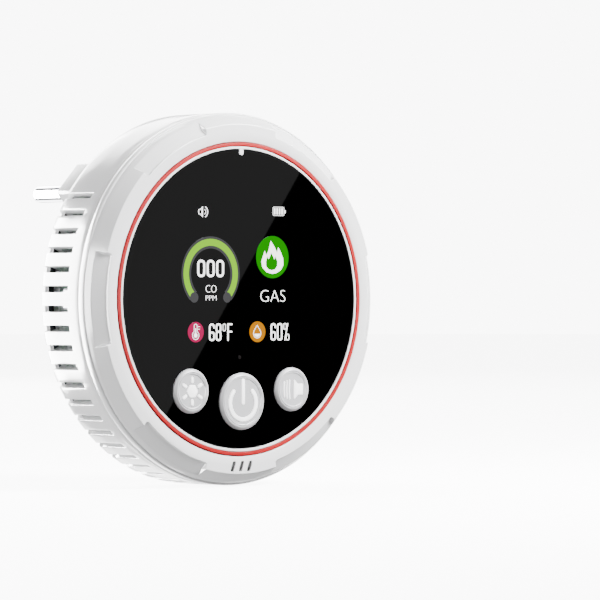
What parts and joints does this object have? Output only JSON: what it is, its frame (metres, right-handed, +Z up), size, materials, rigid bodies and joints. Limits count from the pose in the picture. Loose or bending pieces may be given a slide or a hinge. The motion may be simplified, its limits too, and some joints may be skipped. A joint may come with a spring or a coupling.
{
  "type": "carbon monoxide detector",
  "caption": "Round plug-in carbon monoxide and gas alarm: glass display above press buttons, vented white body and a turning mains plug on the back.",
  "frame": {"origin": "middle of the plug's flat face, between the pins", "axes": "+Y along the pins into the wall, +Z up, +X to the right of someone who looks at the display"},
  "size_m": [0.086, 0.0672, 0.086],
  "materials": {
    "white_shell": "glossy white moulding",
    "accent_red": "satin red",
    "display_glass": "black back-printed glass",
    "button_silver": "satin silver lacquer",
    "black_plastic": "moulded black",
    "lcd_cell": "polariser film",
    "sheet_steel": "pressed sheet",
    "flex_film": "amber film",
    "circuit_board": "solder mask",
    "steel_screw": "zinc plated",
    "white_plastic": "moulded white",
    "battery_foil": "laminate foil",
    "sensor_can": "drawn can",
    "transformer_tape": "yellow tape",
    "capacitor_sleeve": "shrink sleeve",
    "fuse_ceramic": "white body",
    "brass_contact": "sprung strip",
    "chrome_pin": "bright plated"
  },
  "bodies": {
    "plug_module": {"plug_carrier": "white_shell", "plug_back_plate": "white_plastic", "plug_plate_screw": "steel_screw", "plug_pin_left": "chrome_pin", "plug_pin_right": "chrome_pin"},
    "housing": {"bezel_ring": "white_shell", "accent_ring": "accent_red", "trim_ring": "white_shell", "display_lens": "display_glass", "brightness_switch": "black_plastic", "power_switch": "black_plastic", "volume_switch": "black_plastic", "lcd_panel": "lcd_cell", "lcd_frame": "sheet_steel", "lcd_flex_cable": "flex_film", "front_housing": "white_shell", "rear_cover": "white_shell", "main_board": "circuit_board", "board_screw_1": "steel_screw", "board_screw_2": "steel_screw", "board_screw_3": "steel_screw", "processor_chip": "black_plastic", "light_sensor": "white_plastic", "temp_humidity_sensor": "white_plastic", "backup_battery": "battery_foil", "co_sensor": "sensor_can", "gas_sensor_base": "black_plastic", "gas_sensor_cap": "sheet_steel", "sounder": "black_plastic", "power_board": "circuit_board", "power_board_screw_1": "steel_screw", "power_board_screw_2": "steel_screw", "transformer": "transformer_tape", "capacitor_1": "capacitor_sleeve", "capacitor_2": "capacitor_sleeve", "fuse": "fuse_ceramic", "board_header": "black_plastic", "contact_spring_left": "brass_contact", "contact_spring_right": "brass_contact", "release_spring": "steel_screw"},
    "power_button": {"power_button": "button_silver"},
    "brightness_button": {"brightness_button": "button_silver"},
    "volume_button": {"volume_button": "button_silver"},
    "release_button": {"release_button": "white_shell"}
  },
  "joints": [
    {"name": "housing_turn", "type": "hinge", "parent": "plug_module", "child": "housing", "pos_m": [0, -0.0145, -0.0057], "axis": [0, -1, 0], "range_deg": [0, 45]},
    {"name": "power_button_press", "type": "slide", "parent": "housing", "child": "power_button", "axis": [0, 1, 0], "range_m": [0, 0.0007], "stiffness_N_per_m": 1500, "springref_m": -0.0004},
    {"name": "brightness_button_press", "type": "slide", "parent": "housing", "child": "brightness_button", "axis": [0, 1, 0], "range_m": [0, 0.0007], "stiffness_N_per_m": 1500, "springref_m": -0.0004},
    {"name": "volume_button_press", "type": "slide", "parent": "housing", "child": "volume_button", "axis": [0, 1, 0], "range_m": [0, 0.0007], "stiffness_N_per_m": 1500, "springref_m": -0.0004},
    {"name": "release_button_press", "type": "slide", "parent": "housing", "child": "release_button", "axis": [0, -1, 0], "range_m": [0, 0.0012], "stiffness_N_per_m": 800, "springref_m": -0.001, "deforming": ["release_spring"]}
  ]
}
